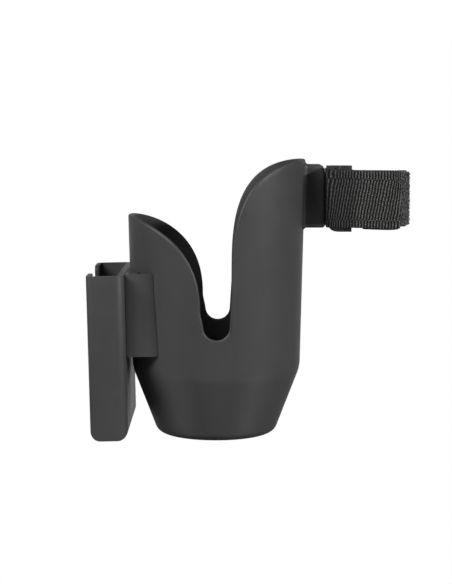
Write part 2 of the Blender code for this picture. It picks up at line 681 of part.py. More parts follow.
def main():
    clear_scene()
    parts = new_collection("strap_on_cup_holder")
    cutters = new_collection("cutters")
    plastic = new_material("charcoal_plastic", (0.045, 0.045, 0.046), 0.5)
    bracket_plastic = new_material("black_plastic", (0.022, 0.022, 0.023), 0.45)
    steel = new_material("screw_steel", (0.45, 0.45, 0.46), 0.35, 1.0)
    rubber = new_material("pad_rubber", (0.02, 0.02, 0.02), 0.85)
    webbing = new_material("black_webbing", (0.025, 0.024, 0.024), 0.9)
    pile = new_material("pile_fabric", (0.035, 0.034, 0.033), 0.95)
    hook = new_material("hook_fabric", (0.012, 0.012, 0.012), 0.8)
    leaning = bpy.data.objects.new("pocket_slide_axis", None)
    parts.objects.link(leaning)
    leaning.location = (POCKET_FOOT_X, 0.0, 0.0)
    leaning.rotation_euler = (0.0, -LEAN, 0.0)
    screw_holes = make_screws(parts, cutters, steel)
    make_cup(parts, cutters, screw_holes, plastic)
    make_bracket(parts, cutters, leaning, screw_holes, plastic)
    make_pocket(parts, cutters, leaning, plastic)
    make_saddle(parts, cutters, bracket_plastic)
    make_saddle_pad(parts, rubber)
    make_strap(parts, webbing, pile, hook)


main()
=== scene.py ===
"""The looks of a strap-on cup holder with a phone pocket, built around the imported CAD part.

Lengths are in mm until a mesh is made."""

import math

import bmesh
import bpy
import numpy as np
from mathutils import Matrix, Vector


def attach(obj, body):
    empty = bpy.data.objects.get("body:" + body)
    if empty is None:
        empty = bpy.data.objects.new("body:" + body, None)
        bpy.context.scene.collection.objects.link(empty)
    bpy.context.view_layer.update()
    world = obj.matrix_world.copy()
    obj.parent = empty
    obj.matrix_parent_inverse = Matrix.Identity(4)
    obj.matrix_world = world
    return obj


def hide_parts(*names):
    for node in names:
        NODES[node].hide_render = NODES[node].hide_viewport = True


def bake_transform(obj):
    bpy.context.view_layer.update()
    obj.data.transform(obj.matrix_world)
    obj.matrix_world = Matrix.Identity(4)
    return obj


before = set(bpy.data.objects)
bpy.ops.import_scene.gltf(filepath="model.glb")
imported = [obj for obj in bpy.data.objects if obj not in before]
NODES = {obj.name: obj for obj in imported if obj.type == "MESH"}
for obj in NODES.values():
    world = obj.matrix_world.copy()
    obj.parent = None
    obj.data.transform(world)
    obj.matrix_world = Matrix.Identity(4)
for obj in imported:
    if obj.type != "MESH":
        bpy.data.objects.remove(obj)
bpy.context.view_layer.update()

MM = 0.001

# Cup
KINK_RADIUS, KINK_Z = 46.15, 36.6
DRAFT = math.tan(math.radians(1.34))
CONE_FOOT_RADIUS = 32.1
CONE_SLOPE = (KINK_RADIUS - CONE_FOOT_RADIUS) / KINK_Z
KINK_FILLET, BASE_FILLET = 22.0, 6.0
WALL, FLOOR = 2.2, 2.6
FOOT_RISE = 0.6  # of the recess inside the foot ring
FOOT_RINGS = ((4, 0.62), (15, FOOT_RISE), (20.4, FOOT_RISE), (21.0, 0.5), (21.5, 0.12), (22.1, 0.0))
FLOOR_RADII = (20.0, 10.0, 3.0)
RIM_COLUMNS = 300  # round half of the cup
WALL_ROWS, LIP_STEPS = 44, 9

# Rim, seen along Y
SLOT_BOTTOM_Z, SLOT_RADIUS, SLOT_CENTRE_X = 56.7, 7.0, 0.5
LEFT_CENTRE, LEFT_REACH, LEFT_POWER = (-72.0, 70.8), (64.0, 52.3), 2.35
RIGHT_CENTRE, RIGHT_REACH, RIGHT_POWER = (66.6, 80.0), (58.1, 71.3), 3.13

# Neck
NECK_TIP_X, NECK_HALF_WIDTH = 59.3, 9.0
NECK_SLANT = (1.4, 4.2)
NECK_Z = (113.4, 147.6)
NECK_CORNER, NECK_FILLET = 1.6, 2.2
NECK_COLUMNS = 160
CHANNEL_Z = (105.0, 143.0)  # cut from well below the neck
CHANNEL_HEAD_X, CHANNEL_HEAD_HALF_WIDTH = (53.0, 56.2), 6.3
CHANNEL_THROAT_X, CHANNEL_THROAT_HALF_WIDTH = (55.6, 64.0), 3.2

# Bracket screws, from inside the cup. Profiles are (x, radius), and x falls on the way into the bracket.
SCREW_Y, SCREW_Z = (-14.0, 14.0), (57.0, 80.0)
SCREW_SUNK = 0.9
HEAD_PROFILE = ((-0.02, 0.4), (0.0, 1.6), (-0.02, 2.2), (-0.12, 2.36), (-0.3, 2.38))
SHANK_PROFILE = ((-1.3, 1.3), (-3.6, 1.3), (-4.5, 0.3))
WELL_PROFILE = ((4.5, 2.95), (-0.9, 2.95), (-2.4, 1.7), (-6.0, 1.7))
CROSS_REACH, CROSS_HALF_WIDTH, CROSS_DEPTH = 1.35, 0.24, 0.9

# Phone pocket, in its own leaning frame
POCKET_FOOT_X, LEAN = -46.5, math.radians(1.2)
POCKET_DEPTH, POCKET_HALF_WIDTH = 20.1, 41.2
POCKET_Z = (2.2, 90.3)
POCKET_WALL, POCKET_BACK, POCKET_FLOOR = 2.2, 3.3, 2.5
POCKET_CORNER, POCKET_FRONT_EDGE, POCKET_BACK_EDGE = 5.6, 3.2, 5.0
WINDOW_HALF_WIDTH, WINDOW_SILL_Z, WINDOW_CORNER, LIP_CORNER = 20.0, 20.0, 5.0, 3.0
HOOK_WEB = (-1.0, 4.8, 21.5, 24.0)  # x and then y, low and high
HOOK_FOOT = (2.6, 4.8, 23.0, 31.2)
HOOK_Z = (49.2, 86.0)

# Strap
STRAP_HALF_WIDTH, STRAP_MID_Z = 15.3, 129.5
WEBBING, TAPE = 1.4, 0.7
INNER_RUN_Y, OUTER_RUN_Y = 13.9, 18.9
LOOP_CENTRE_X, LOOP_REACH, LOOP_HALF_DEPTH = 88.0, 15.6, 14.4
EAR_X = (61.4, 73.0)
PEEL_X, TAIL_END_X, SEWN_END_X, TAPE_START_X = 75.15, 99.3, 84.0, 79.0
HOOK_TAPE_DROP = 1.4
LAYER_GAP = 0.3
TAPE_INSET = 0.7  # how much narrower a tape is than the webbing, at each edge
RIB_PITCH, BEAD_PITCH = 1.63, 1.22  # along the webbing and across it
LOOSE_PITCH = 2.28  # of the slacker warp threads
SELVEDGE_V = 11.0  # where the selvedges start, from the webbing's middle
TAPE_SEAM_V, SEWN_BOX_V = 11.0, 13.2  # how far stitching lies from the webbing's middle
STITCH = 2.4

# Camera and light, in metres and radians
CAMERA_PLACE, CAMERA_PITCH, CAMERA_TURN = (0.00739, -0.8937, 0.1758), -0.1097, 0.0022
CAMERA_LENS, SENSOR_HEIGHT = 100.54, 36.0
LIGHT_TARGET = (0, 0, 0.09)
AMBIENT = 0.01  # strength of the world's light where nothing glows
FLOOR_DEPTH = 0.16  # below the object's base


# ---------------------------------------------------------------- meshes


def quads_of(rows, columns):
    """Corner indices of the quads of a grid whose points are stored row by row, and whose rows are closed."""
    r, c = np.meshgrid(np.arange(rows - 1), np.arange(columns), indexing="ij")
    r2, c2 = r + 1, (c + 1) % columns
    quads = np.stack([r * columns + c, r * columns + c2, r2 * columns + c2, r2 * columns + c], axis=-1)
    return quads.reshape(-1, 4)


def new_mesh(name, points, faces, material, smooth=True):
    """An object from points in mm and a list of faces, or arrays of faces with the same corner count."""
    mesh = bpy.data.meshes.new(name)
    groups = [np.asarray(group) for group in faces if len(group)]
    corners = np.concatenate([group.reshape(-1) for group in groups])
    counts = np.concatenate([np.full(len(group), group.shape[1]) for group in groups])
    mesh.vertices.add(len(points))
    mesh.vertices.foreach_set("co", (np.asarray(points, float) * MM).astype(np.float32).reshape(-1))
    mesh.loops.add(len(corners))
    mesh.loops.foreach_set("vertex_index", corners.astype(np.int32))
    mesh.polygons.add(len(counts))
    mesh.polygons.foreach_set("loop_start", np.concatenate([[0], np.cumsum(counts)[:-1]]).astype(np.int32))
    mesh.update(calc_edges=True)
    mesh.validate()
    obj = bpy.data.objects.new(name, mesh)
    bpy.context.scene.collection.objects.link(obj)
    shape = bmesh.new()
    shape.from_mesh(mesh)
    bmesh.ops.recalc_face_normals(shape, faces=shape.faces)
    shape.to_mesh(mesh)
    shape.free()
    if material:
        mesh.materials.append(material)
    if smooth:
        mesh.shade_smooth()
    return obj


def outline_solid(name, outline, low, high, plane, material=None):
    """A flat outline, in mm, as a solid from low to high along the axis that its plane leaves out."""
    outline = np.asarray(outline, float)
    count = len(outline)
    places = {"XY": (0, 1, 2), "XZ": (0, 2, 1), "YZ": (1, 2, 0)}[plane]
    points = np.zeros((2 * count, 3))
    for half, level in enumerate((low, high)):
        part = points[half * count : (half + 1) * count]
        part[:, places[0]] = outline[:, 0]
        part[:, places[1]] = outline[:, 1]
        part[:, places[2]] = level
    sides = quads_of(2, count)
    caps = np.array([list(range(count)), list(range(2 * count - 1, count - 1, -1))])
    return new_mesh(name, points, [sides, caps], material, smooth=False)


def block(name, low, high, material=None):
    (x0, y0, z0), (x1, y1, z1) = low, high
    return outline_solid(name, [(x0, y0), (x1, y0), (x1, y1), (x0, y1)], z0, z1, "XY", material)


def apply_modifiers(obj):
    """Bakes an object's modifiers into its mesh."""
    graph = bpy.context.evaluated_depsgraph_get()
    graph.update()
    mesh = bpy.data.meshes.new_from_object(obj.evaluated_get(graph))
    old = obj.data
    obj.modifiers.clear()
    obj.data = mesh
    mesh.name = obj.name
    bpy.data.meshes.remove(old)


def bevel(obj, width, segments=3, angle=40.0):
    modifier = obj.modifiers.new("bevel", "BEVEL")
    modifier.width = width * MM
    modifier.segments = segments
    modifier.limit_method = "ANGLE"
    modifier.angle_limit = math.radians(angle)
    apply_modifiers(obj)
    return obj


def combine(obj, others, operation="DIFFERENCE"):
    """Cuts or joins other solids into obj, and removes them."""
    for other in others:
        modifier = obj.modifiers.new("bool", "BOOLEAN")
        modifier.operation = operation
        modifier.solver = "MANIFOLD"
        modifier.object = other
    bpy.context.view_layer.update()
    apply_modifiers(obj)
    for other in others:
        bpy.data.objects.remove(other, do_unlink=True)
    return obj


def smooth_by_angle(obj, degrees=32.0):
    obj.data.shade_smooth()
    obj.data.set_sharp_from_angle(angle=math.radians(degrees))
    return obj


def join_faces(obj):
    """Joins coplanar triangles into whole faces, so that a bevel sees only real edges."""
    shape = bmesh.new()
    shape.from_mesh(obj.data)
    bmesh.ops.remove_doubles(shape, verts=shape.verts, dist=0.000005)
    bmesh.ops.dissolve_limit(shape, angle_limit=math.radians(0.4), verts=shape.verts, edges=shape.edges)
    shape.to_mesh(obj.data)
    shape.free()


def give(obj, material):
    obj.data.materials.clear()
    obj.data.materials.append(material)


def rounded(before, corner, after, radius, steps):
    """The points of the arc that rounds a corner."""
    before, corner, after = (np.array(p, float) for p in (before, corner, after))
    a = (before - corner) / np.linalg.norm(before - corner)
    b = (after - corner) / np.linalg.norm(after - corner)
    half = math.acos(float(np.clip(a @ b, -1, 1))) / 2
    centre = corner + (a + b) / np.linalg.norm(a + b) * radius / math.sin(half)
    start = corner + a * radius / math.tan(half) - centre
    end = corner + b * radius / math.tan(half) - centre
    total = math.acos(float(np.clip(start @ end / radius**2, -1, 1)))
    points = []
    for i in range(steps + 1):
        t = i / steps
        mix = (math.sin((1 - t) * total) * start + math.sin(t * total) * end) / math.sin(total)
        points.append(tuple(centre + mix))
    return points


def resample(points, count):
    """Points an equal distance apart along a polyline."""
    points = np.asarray(points, float)
    steps = np.linalg.norm(np.diff(points, axis=0), axis=1)
    along = np.concatenate([[0], np.cumsum(steps)])
    wanted = np.linspace(0, along[-1], count)
    return np.stack([np.interp(wanted, along, points[:, k]) for k in range(points.shape[1])], axis=1)


def leaning():
    """From the pocket's own frame to the object's."""
    return Matrix.Translation((POCKET_FOOT_X * MM, 0, 0)) @ Matrix.Rotation(-LEAN, 4, "Y")


def smoothstep(x, low, high):
    t = np.clip((np.asarray(x, float) - low) / (high - low), 0, 1)
    return t * t * (3 - 2 * t)


# ---------------------------------------------------------------- materials


class Nodes:
    """Shorthand for one material's nodes."""

    def __init__(self, name):
        self.material = bpy.data.materials.new(name)
        self.material.use_nodes = True
        self.tree = self.material.node_tree
        self.shader = self.tree.nodes["Principled BSDF"]
        self.place = self.add("ShaderNodeTexCoord").outputs["Object"]

    def add(self, kind, **settings):
        node = self.tree.nodes.new(kind)
        for key, value in settings.items():
            setattr(node, key, value)
        return node

    def link(self, source, target):
        self.tree.links.new(source, target)

    def noise(self, scale, detail=3.0, roughness=0.55, stretch=None):
        node = self.add("ShaderNodeTexNoise")
        node.inputs["Scale"].default_value = scale
        node.inputs["Detail"].default_value = detail
        node.inputs["Roughness"].default_value = roughness
        source = self.place
        if stretch:
            mapping = self.add("ShaderNodeMapping")
            mapping.inputs["Scale"].default_value = stretch
            self.link(source, mapping.inputs["Vector"])
            source = mapping.outputs["Vector"]
        self.link(source, node.inputs["Vector"])
        return node.outputs["Fac"]

    def cells(self, scale):
        node = self.add("ShaderNodeTexVoronoi", feature="F1")
        node.inputs["Scale"].default_value = scale
        self.link(self.place, node.inputs["Vector"])
        return node.outputs["Distance"]

    def crest(self):
        """The tone that a band's mesh holds: 0 in the hollows and 1 on the crests."""
        return self.add("ShaderNodeAttribute", attribute_name="crest").outputs["Fac"]

    def math(self, operation, a, b):
        node = self.add("ShaderNodeMath", operation=operation)
        for socket, value in zip(node.inputs, (a, b)):
            if isinstance(value, (int, float)):
                socket.default_value = value
            else:
                self.link(value, socket)
        return node.outputs[0]

    def ramp(self, source, stops):
        node = self.add("ShaderNodeValToRGB")
        while len(node.color_ramp.elements) < len(stops):
            node.color_ramp.elements.new(0.5)
        for element, (position, colour) in zip(node.color_ramp.elements, stops):
            element.position = position
            element.color = (*colour, 1.0)
        self.link(source, node.inputs["Fac"])
        return node.outputs["Color"]

    def spread(self, source, low, high, out_low, out_high):
        node = self.add("ShaderNodeMapRange")
        values = {"From Min": low, "From Max": high, "To Min": out_low, "To Max": out_high}
        for name, value in values.items():
            node.inputs[name].default_value = value
        self.link(source, node.inputs["Value"])
        return node.outputs["Result"]

    def bump(self, height, strength, distance, normal=None):
        node = self.add("ShaderNodeBump")
        node.inputs["Strength"].default_value = strength
        node.inputs["Distance"].default_value = distance
        self.link(height, node.inputs["Height"])
        if normal:
            self.link(normal, node.inputs["Normal"])
        return node.outputs["Normal"]

    def finish(self, colour=None, roughness=None, normal=None, **sockets):
        if colour is not None:
            self.link(colour, self.shader.inputs["Base Color"])
        if roughness is not None:
            self.link(roughness, self.shader.inputs["Roughness"])
        if normal is not None:
            self.link(normal, self.shader.inputs["Normal"])
        for name, value in sockets.items():
            self.shader.inputs[name.replace("_", " ")].default_value = value
        return self.material


def grey(level, warm=0.0):
    return (level * (1 + warm), level, level * (1 - warm))


def moulded_plastic(name, level, rough):
    """Matt moulded plastic: spark-eroded grain, faint flow marks and a little polish where hands rub it."""
    grain, warm = 0.35, 0.01
    n = Nodes(name)
    flow = n.noise(38, 4, 0.6, (1, 1, 0.45))
    fine = n.noise(1500, 2, 0.6)
    tone = n.math("ADD", n.math("MULTIPLY", flow, 0.75), n.math("MULTIPLY", fine, 0.25))
    tones = ((0.25, 0.86), (0.5, 1.0), (0.78, 1.14))
    colour = n.ramp(tone, [(position, grey(level * share, warm)) for position, share in tones])
    patches = n.noise(90, 5, 0.65)
    roughness = n.spread(patches, 0.3, 0.7, rough - 0.05, rough + 0.06)
    pits = n.cells(2300)
    normal = n.bump(pits, grain, 0.00005)
    normal = n.bump(n.noise(700, 3), grain * 0.6, 0.00005, normal)
    return n.finish(colour, roughness, normal, IOR=1.47)


def screw_metal():
    n = Nodes("zinc_plated_steel")
    turning = n.noise(900, 3, 0.6, stretch=(0.2, 1, 1))
    colour = n.ramp(turning, [(0.3, (0.36, 0.36, 0.37)), (0.7, (0.55, 0.55, 0.54))])
    roughness = n.spread(n.noise(300, 4), 0.3, 0.7, 0.26, 0.42)
    return n.finish(colour, roughness, n.bump(turning, 0.2, 0.00003), Metallic=1.0)


def soft_rubber():
    n = Nodes("soft_rubber")
    bloom = n.noise(160, 5, 0.7)
    colour = n.ramp(bloom, [(0.3, grey(0.014)), (0.7, grey(0.026, 0.02))])
    roughness = n.spread(bloom, 0.3, 0.7, 0.72, 0.86)
    return n.finish(colour, roughness, n.bump(n.cells(1900), 0.4, 0.00005), IOR=1.5)


def yarn(name, dark, light, fuzz):
    """Polyester yarn: fine twisted filaments, with painted shade down in the weave and a painted highlight
    where cords stand proud.
    """
    n = Nodes(name)
    filaments = n.noise(3600, 3, 0.7, stretch=(0.5, 0.5, 1.0))
    clumps = n.noise(700, 3, 0.6)
    speckle = n.math("ADD", n.math("MULTIPLY", filaments, 0.9), n.math("MULTIPLY", clumps, 0.6))
    # Painted shade and highlight: the crest tone darkens the hollows and lightens the proud cords.
    tone = n.math("MULTIPLY", n.crest(), n.math("ADD", speckle, 0.25))
    middle = dark * 0.75 + light * 0.25
    colour = n.ramp(tone, [(0.06, grey(dark)), (0.45, grey(middle, 0.02)), (0.95, grey(light, 0.03))])
    roughness = n.spread(clumps, 0.3, 0.7, 0.6, 0.85)
    normal = n.bump(filaments, 0.8, 0.00012)
    sheen = {"Sheen_Weight": fuzz, "Sheen_Roughness": 0.45}
    return n.finish(colour, roughness, normal, Specular_IOR_Level=0.25, **sheen)


def plain_yarn(name, dark, light):
    n = Nodes(name)
    twist = n.noise(2600, 3, 0.7)
    colour = n.ramp(twist, [(0.3, grey(dark)), (0.7, grey(light, 0.03))])
    sheen = {"Sheen_Weight": 0.25, "Sheen_Roughness": 0.4}
    return n.finish(colour, None, n.bump(twist, 0.6, 0.0001), Roughness=0.7, **sheen)


def pile_cloth():
    n = Nodes("brushed_pile")
    tangle = n.noise(1500, 6, 0.8)
    tone = n.math("ADD", n.math("MULTIPLY", tangle, 0.6), n.math("MULTIPLY", n.crest(), 0.4))
    colour = n.ramp(tone, [(0.3, grey(0.008)), (0.5, grey(0.022)), (0.72, grey(0.045, 0.02))])
    normal = n.bump(tangle, 1.0, 0.0004)
    return n.finish(colour, None, normal, Roughness=0.92, Sheen_Weight=0.5, Sheen_Roughness=0.4)


CHARCOAL = moulded_plastic("charcoal_plastic_look", 0.046, 0.50)
BLACK_PLASTIC = moulded_plastic("black_plastic_look", 0.026, 0.46)
METAL = screw_metal()
RUBBER = soft_rubber()
WEBBING_YARN = yarn("webbing_yarn", 0.001, 0.165, fuzz=0.03)
HOOK_YARN = yarn("hook_tape_nylon", 0.006, 0.03, 0.1)
THREAD = plain_yarn("sewing_thread", 0.02, 0.06)
LOOP_YARN = plain_yarn("loop_yarn", 0.035, 0.2)
DIM_LOOP_YARN = plain_yarn("dim_loop_yarn", 0.015, 0.07)
PILE = pile_cloth()


# ---------------------------------------------------------------- cup


def wall_radius(z):
    return KINK_RADIUS + (z - KINK_Z) * DRAFT


def shoulder(centre, reach, power):
    """(x, z) of a superellipse's quarter, from above its centre to the side that reach points to."""
    turn = np.linspace(math.pi / 2, 0, 900)
    across, up = (np.clip(value, 0, None) ** (2 / power) for value in (np.cos(turn), np.sin(turn)))
    return np.stack([centre[0] + reach[0] * across, centre[1] + reach[1] * up], axis=1)


def rim_line():
    """(x, z) of the rim's cut from the left wall to the right one, with x rising."""
    left = shoulder(LEFT_CENTRE, LEFT_REACH, LEFT_POWER)
    right = shoulder(RIGHT_CENTRE, (-RIGHT_REACH[0], RIGHT_REACH[1]), RIGHT_POWER)[::-1]
    turn = np.linspace(math.pi, 2 * math.pi, 400)
    slot = np.stack([SLOT_CENTRE_X + SLOT_RADIUS * np.cos(turn), SLOT_RADIUS * np.sin(turn)], axis=1)
    slot[:, 1] += SLOT_BOTTOM_Z + SLOT_RADIUS
    line = np.concatenate([left, slot, right])
    # The two corners where the shoulders meet the slot are eased, as the moulding is.
    for _ in range(60):
        even = resample(line, 2600)
        even[1:-1] = (even[:-2] + 2 * even[1:-1] + even[2:]) / 4
        line = even
    return line


def rim_columns():
    """The rounded rim for each column round the cup: its middle, and the unit vectors out of the cup and up
    out of the wall."""
    line = rim_line()
    line = line[np.abs(line[:, 0]) < wall_radius(line[:, 1]) - WALL / 2 - 0.002]
    radius = wall_radius(line[:, 1]) - WALL / 2
    spine = np.stack([line[:, 0], np.sqrt(radius**2 - line[:, 0] ** 2), line[:, 1]], axis=1)
    first, last = line[0, 1], line[-1, 1]
    ends = [(-(wall_radius(first) - WALL / 2), 0.0, first), (wall_radius(last) - WALL / 2, 0.0, last)]

    # Near the XZ plane the line runs round the cup faster than in x, so that stretch is filled in by angle.
    def arc(start, end):
        a, b = (math.atan2(p[1], p[0]) for p in (start, end))
        angles = np.linspace(a, b, 60)[1:-1]
        z = np.interp(angles, sorted((a, b)), [start[2], end[2]] if a < b else [end[2], start[2]])
        r = wall_radius(z) - WALL / 2
        return np.stack([r * np.cos(angles), r * np.sin(angles), z], axis=1)

    into, away = arc(ends[0], spine[0]), arc(spine[-1], ends[1])
    half = np.concatenate([ends[:1], into, spine, away, ends[1:]])[::-1]
    half = resample(half, RIM_COLUMNS + 1)
    other = half[1:-1][::-1] * np.array([1, -1, 1])
    loop = np.concatenate([half, other])
    ahead, behind = np.roll(loop, -1, axis=0), np.roll(loop, 1, axis=0)
    along = ahead - behind
    along /= np.linalg.norm(along, axis=1)[:, None]
    angle = np.arctan2(loop[:, 1], loop[:, 0])
    radial = np.stack([np.cos(angle), np.sin(angle), np.full(len(loop), -DRAFT)], axis=1)
    out = np.cross(radial, along)
    out /= np.linalg.norm(out, axis=1)[:, None]
    middle = loop - out * WALL / 2
    return middle, radial, out


def side_rows(shrink, foot_z):
    """(radius, z) from the foot of the cup's side to just above the kink, shrink inside the outer surface."""
    cone_shrink = shrink * math.hypot(1, CONE_SLOPE)
    kink_z = KINK_Z + (cone_shrink - shrink) / (CONE_SLOPE - DRAFT)
    kink = (wall_radius(kink_z) - shrink, kink_z)
    foot = (CONE_FOOT_RADIUS + CONE_SLOPE * foot_z - cone_shrink, foot_z)
    above = (wall_radius(kink_z + 20) - shrink, kink_z + 20)
    rows = rounded((0, foot_z), foot, kink, BASE_FILLET - shrink, 14)
    rows += [tuple(p) for p in np.linspace(rows[-1], rounded(foot, kink, above, KINK_FILLET, 8)[0], 14)[1:-1]]
    return rows + rounded(foot, kink, above, KINK_FILLET, 8)


def make_cup():
    """The cup's shell, as one grid of rings from the underside's middle to the floor's."""
    middle, radial, out = rim_columns()
    count = len(middle)
    rim_angle = np.unwrap(np.arctan2(middle[:, 1], middle[:, 0]))
    even_angle = rim_angle[0] + np.linspace(0, 2 * math.pi, count, endpoint=False)
    even_angle = 0.55 * even_angle + 0.45 * rim_angle

    def ring(radius, z, angle=even_angle):
        z = np.broadcast_to(z, angle.shape)
        return np.stack([radius * np.cos(angle), radius * np.sin(angle), z], axis=1)

    def wall(shrink, start_z):
        found = []
        top_z = middle[:, 2]
        for i in range(1, WALL_ROWS + 1):
            share = i / (WALL_ROWS + 1)
            angle = even_angle + (rim_angle - even_angle) * share
            z = start_z + (top_z - start_z) * share
            radius = wall_radius(z) - shrink
            found.append(ring(radius, z, angle))
        return found

    # From the underside's middle out, up the outer wall, over the lip, down inside and in across the floor
    outer, inner = side_rows(0.0, 0.0), side_rows(WALL, FLOOR)
    rows = [ring(radius, z) for radius, z in FOOT_RINGS]
    rows += [ring(radius, z) for radius, z in outer]
    rows += wall(0.0, outer[-1][1])
    for i in range(LIP_STEPS + 1):
        turn = math.pi * i / LIP_STEPS
        rows.append(middle + (radial * math.cos(turn) + out * math.sin(turn)) * WALL / 2)
    rows += wall(WALL, inner[-1][1])[::-1]
    rows += [ring(radius, z) for radius, z in inner[::-1]]
    rows += [ring(radius, FLOOR) for radius in FLOOR_RADII]
    grid = np.stack(rows)
    points = np.concatenate([grid.reshape(-1, 3), [[0, 0, FOOT_RINGS[0][1]]], [[0, 0, FLOOR]]])
    quads = quads_of(len(rows), count)
    around = np.arange(count)
    bottom_pole, floor_pole = len(points) - 2, len(points) - 1
    last = (len(rows) - 1) * count
    bottom_fan = np.stack([around, np.full(count, bottom_pole), (around + 1) % count], axis=1)
    floor_fan = np.stack([last + around, last + (around + 1) % count, np.full(count, floor_pole)], axis=1)
    return new_mesh("cup_shell", points, [quads, bottom_fan, floor_fan], CHARCOAL)


def neck_ring(x_of, inset, radius):
    """One ring of the neck: a rounded rectangle in YZ, with x given for each point."""
    half, low, high = NECK_HALF_WIDTH - inset, NECK_Z[0] + inset, NECK_Z[1] - inset
    steps = 8
    points = []
    for centre, start in (
        ((half - radius, high - radius), 0),
        ((-half + radius, high - radius), 90),
        ((-half + radius, low + radius), 180),
        ((half - radius, low + radius), 270),
    ):
        for i in range(steps + 1):
            turn = math.radians(start + 90 * i / steps)
            points.append((centre[0] + radius * math.cos(turn), centre[1] + radius * math.sin(turn)))
    # Extra points along the long sides keep the root close to the cup's curve.
    points = np.array(points + [points[0]])
    dense = []
    for a, b in zip(points[:-1], points[1:]):
        pieces = max(1, int(np.linalg.norm(b - a) / 1.5))
        dense += [a + (b - a) * k / pieces for k in range(pieces)]
    dense = np.array(dense)
    return np.stack([x_of(dense), dense[:, 0], dense[:, 1]], axis=1)


def make_neck():
    """The neck, from a fillet on the cup's wall to a rounded tip, with its T-shaped channel."""
    slant, slant_z = NECK_SLANT[0] / NECK_SLANT[1], NECK_Z[1] - NECK_SLANT[1]
    straight_x = 54.5  # where the fillet is well behind
    quarter = [math.pi / 2 * i / 8 for i in range(9)]

    def surface_x(yz, sink):
        return np.sqrt((wall_radius(yz[:, 1]) - sink) ** 2 - yz[:, 0] ** 2)

    rings = [neck_ring(lambda yz: surface_x(yz, 1.2), -NECK_FILLET * 0.9, NECK_CORNER + NECK_FILLET)]
    for turn in quarter:
        flare = NECK_FILLET * (1 - math.sin(turn))
        rise = NECK_FILLET * (1 - math.cos(turn))
        rings.append(neck_ring(lambda yz, rise=rise: surface_x(yz, 0.05) + rise, -flare, NECK_CORNER + flare))
    rings.append(neck_ring(lambda yz: 0 * yz[:, 0] + straight_x, 0.0, NECK_CORNER))
    for turn in quarter:
        tip = NECK_TIP_X - NECK_CORNER * (1 - math.sin(turn))
        # The tip leans back a little towards its top.
        rings.append(
            neck_ring(
                lambda yz, tip=tip: tip - slant * np.clip(yz[:, 1] - slant_z, 0, None),
                NECK_CORNER * (1 - math.cos(turn)),
                NECK_CORNER * math.cos(turn) + 0.25,
            )
        )
    rings = [resample(np.concatenate([r, r[:1]]), NECK_COLUMNS + 1)[:-1] for r in rings]
    quads = quads_of(len(rings), NECK_COLUMNS)
    first = np.arange(NECK_COLUMNS)[::-1][None]
    last = (len(rings) - 1) * NECK_COLUMNS + np.arange(NECK_COLUMNS)[None]
    neck = new_mesh("cup_neck", np.concatenate(rings), [quads, first, last], CHARCOAL)
    cuts = []
    for name, (x0, x1), half in (
        ("cut_head", CHANNEL_HEAD_X, CHANNEL_HEAD_HALF_WIDTH),
        ("cut_throat", CHANNEL_THROAT_X, CHANNEL_THROAT_HALF_WIDTH),
    ):
        cuts.append(block(name, (x0, -half, CHANNEL_Z[0]), (x1, half, CHANNEL_Z[1])))
    return combine(neck, cuts)


def inner_wall_x(y, z):
    return -math.sqrt((wall_radius(z) - WALL) ** 2 - y**2)


def turned(name, profile, start, y, z, steps, material):
    """A solid of revolution along X from start."""
    turn = np.linspace(0, 2 * math.pi, steps, endpoint=False)
    rings = [
        np.stack([np.full(steps, start + x), y + radius * np.cos(turn), z + radius * np.sin(turn)], axis=1)
        for x, radius in profile
    ]
    ends = [np.arange(steps)[None], ((len(rings) - 1) * steps + np.arange(steps)[::-1])[None]]
    faces = [quads_of(len(rings), steps), *ends]
    return new_mesh(name, np.concatenate(rings), faces, material)


def well(y, z):
    """The countersunk well of a bracket screw, cut along X into the cup's inner wall."""
    return turned("cut_well", WELL_PROFILE, inner_wall_x(y, z), y, z, 40, None)


def make_screw(name, y, z):
    """A countersunk screw head with a cross recess, and its shank."""
    start = inner_wall_x(y, z) - SCREW_SUNK
    screw = turned(name, HEAD_PROFILE + SHANK_PROFILE, start, y, z, 48, METAL)
    arms = []
    for half_y, half_z in ((CROSS_REACH, CROSS_HALF_WIDTH), (CROSS_HALF_WIDTH, CROSS_REACH)):
        low = (start - CROSS_DEPTH, y - half_y, z - half_z)
        arms.append(block("cut_arm", low, (start + 1, y + half_y, z + half_z)))
    combine(screw, arms)
    return smooth_by_angle(screw)


# ---------------------------------------------------------------- pocket and bracket


